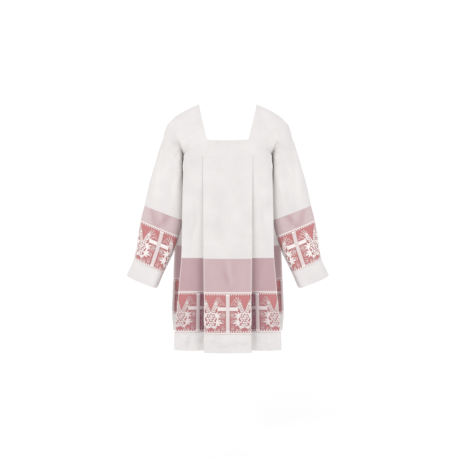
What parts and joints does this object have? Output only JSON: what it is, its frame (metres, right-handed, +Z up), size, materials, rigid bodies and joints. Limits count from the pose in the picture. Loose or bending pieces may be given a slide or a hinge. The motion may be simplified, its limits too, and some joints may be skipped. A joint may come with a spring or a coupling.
{
  "type": "surplice",
  "caption": "White square-necked surplice worn by nobody: yoke, box-pleated skirt, wide sleeves, net and lace bands with crosses and wheat over a coral lining.",
  "frame": {"origin": "middle of the shoulder line, level with the tips of the neck, where the wearer's shoulders carry the garment", "axes": "+Z up, the front faces -Y, +X is the wearer's left"},
  "size_m": [0.7918, 0.3425, 0.9555],
  "materials": {
    "cotton": "matte plain-woven cotton",
    "net": "fine white net over the lining, dusty pink",
    "lining": "satin coral lining",
    "lace": "white embroidered lace"
  },
  "bodies": {
    "root": {"yoke_front": "cotton", "skirt_front": "cotton", "lining_front": "lining", "net_front": "net", "lace_front": "lace", "hem_front": "cotton", "yoke_back": "cotton", "skirt_back": "cotton", "lining_back": "lining", "net_back": "net", "lace_back": "lace", "hem_back": "cotton", "sleeve_left": "cotton", "sleeve_lining_left": "lining", "sleeve_net_left": "net", "sleeve_lace_left_front": "lace", "sleeve_lace_left_back": "lace", "cuff_left": "cotton", "sleeve_right": "cotton", "sleeve_lining_right": "lining", "sleeve_net_right": "net", "sleeve_lace_right_front": "lace", "sleeve_lace_right_back": "lace", "cuff_right": "cotton"}
  },
  "joints": []
}
